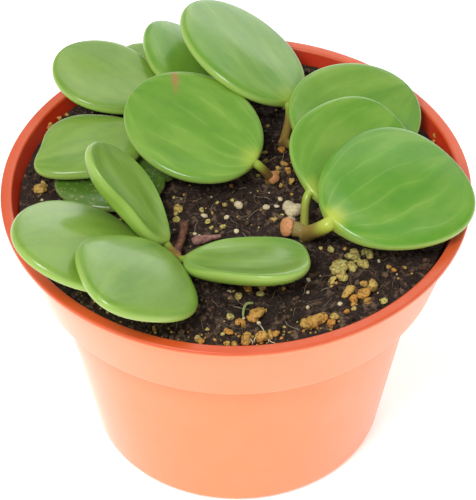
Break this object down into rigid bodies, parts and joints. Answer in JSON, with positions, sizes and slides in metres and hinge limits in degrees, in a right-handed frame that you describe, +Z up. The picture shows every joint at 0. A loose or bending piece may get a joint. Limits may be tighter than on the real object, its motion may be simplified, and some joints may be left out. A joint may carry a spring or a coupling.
{
  "type": "potted peperomia plant",
  "caption": "Small houseplant with thick oval glossy leaves, rooted in peat in a round tapered plastic nursery pot.",
  "frame": {"origin": "centre of the pot's flat underside, which is the plane that it stands on", "axes": "+Z up along the pot's axis; -Y is the side that the picture is taken from, +X is to its right"},
  "size_m": [0.085, 0.0857, 0.07],
  "materials": {
    "pot": "moulded polypropylene, terracotta colour, satin, slightly translucent",
    "soil": "damp peat with perlite and vermiculite grains, matte and crumbly",
    "stem": "fleshy young stem, tan to pinkish, satin",
    "dry_stem": "dry stem, matte and wrinkled",
    "leaf": "thick waxy leaf, mid green, glossy with a soft sheen"
  },
  "bodies": {
    "root": {"pot": "pot", "soil": "soil", "stem_right": "stem", "stem_back": "stem", "stem_middle": "stem", "stem_front": "stem", "stem_left": "stem", "stem_rear": "stem", "dry_stem": "dry_stem", "leaf_back": "leaf", "leaf_back_left": "leaf", "leaf_upper_left": "leaf", "leaf_hidden_left": "leaf", "leaf_middle": "leaf", "leaf_left": "leaf", "leaf_on_soil": "leaf", "leaf_inner_left": "leaf", "leaf_outer_left": "leaf", "leaf_front_left": "leaf", "leaf_front": "leaf", "leaf_right_back": "leaf", "leaf_right_inner": "leaf", "leaf_right_front": "leaf"}
  },
  "joints": []
}
